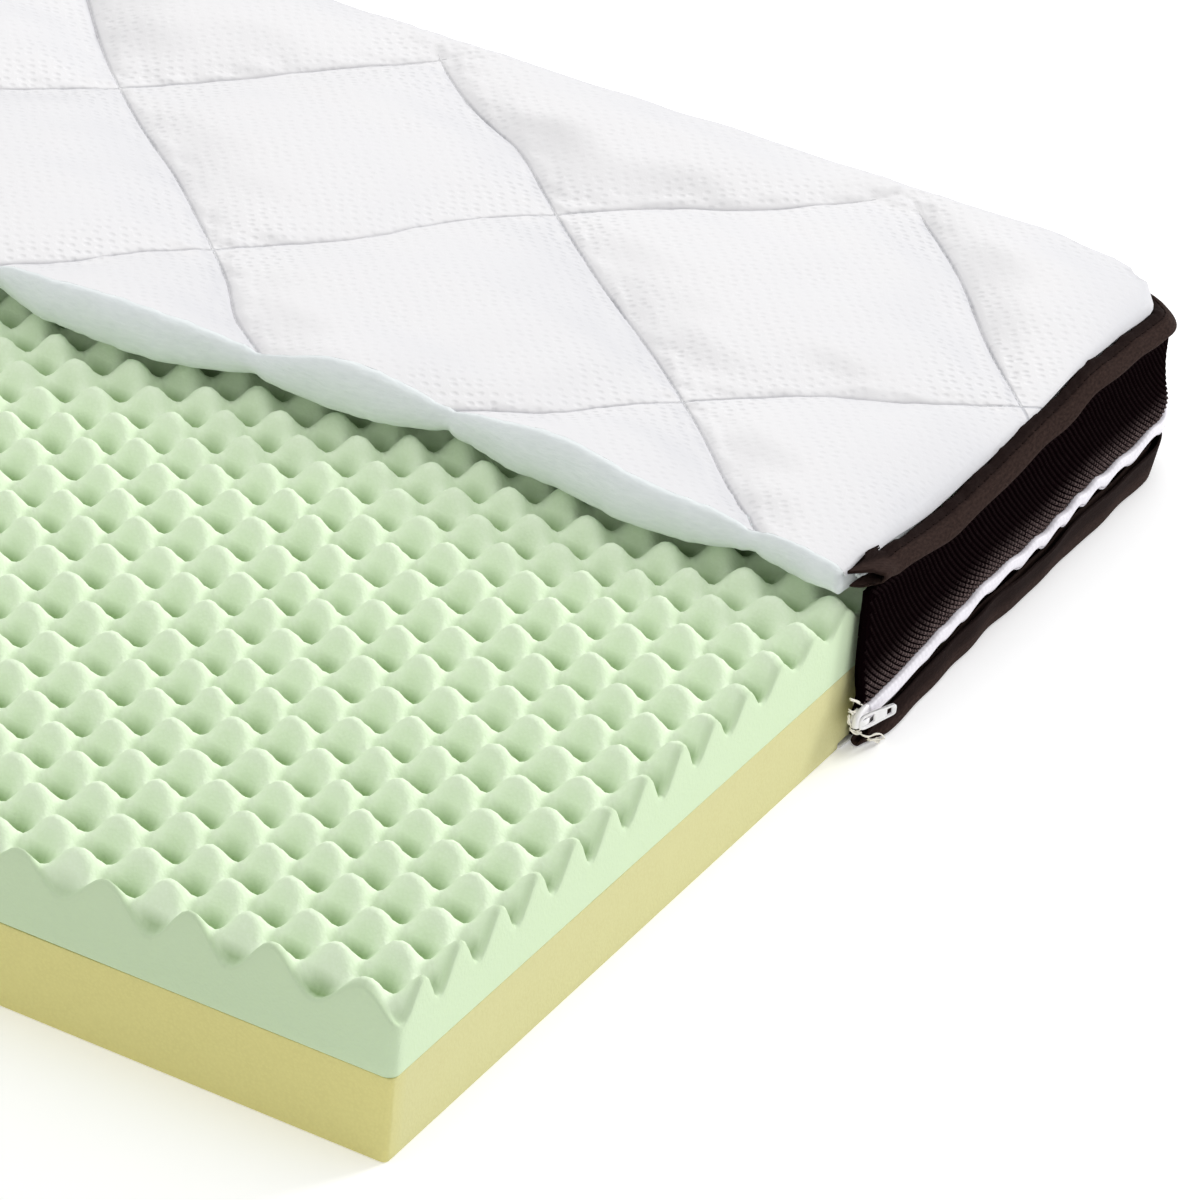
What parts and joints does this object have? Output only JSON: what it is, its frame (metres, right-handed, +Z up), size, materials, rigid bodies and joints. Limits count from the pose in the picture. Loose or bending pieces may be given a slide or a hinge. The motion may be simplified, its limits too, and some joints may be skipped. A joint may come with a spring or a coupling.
{
  "type": "mattress topper",
  "caption": "Cot mattress topper cut open along its middle: egg-crate foam on a plain foam slab, half inside a quilted cover with a mesh side band and a coil zip.",
  "frame": {"origin": "on the floor, at the middle of the foam core's underside", "axes": "+X across the width, towards the covered long side; +Y along the length, away from the end with the zip slider; +Z up"},
  "size_m": [0.6149, 1.2268, 0.092],
  "materials": {
    "base_foam": "pale yellow cut polyurethane foam with fine open cells",
    "comfort_foam": "mint green profile-cut polyurethane foam with fine open cells",
    "quilted_knit": "white dimpled polyester knit quilted to white batting",
    "bottom_cloth": "thin off-white polyester cloth",
    "binding": "dark brown brushed binding tape",
    "spacer_mesh": "dark brown ribbed spacer mesh",
    "zip_tape": "cream woven polyester zip tape, frayed at its cut end",
    "zip_coil": "white polyester coil",
    "zip_slider": "white enamelled cast zip slider and pull"
  },
  "bodies": {
    "root": {"base_foam": "base_foam", "comfort_foam": "comfort_foam", "cover_top": "quilted_knit", "cover_bottom": "bottom_cloth", "top_binding": "binding", "border_mesh": "spacer_mesh", "zip_tape": "zip_tape", "zip_coil": "zip_coil", "zip_slider": "zip_slider", "zip_pull": "zip_slider", "border_lower": "spacer_mesh", "bottom_binding": "binding"}
  },
  "joints": []
}
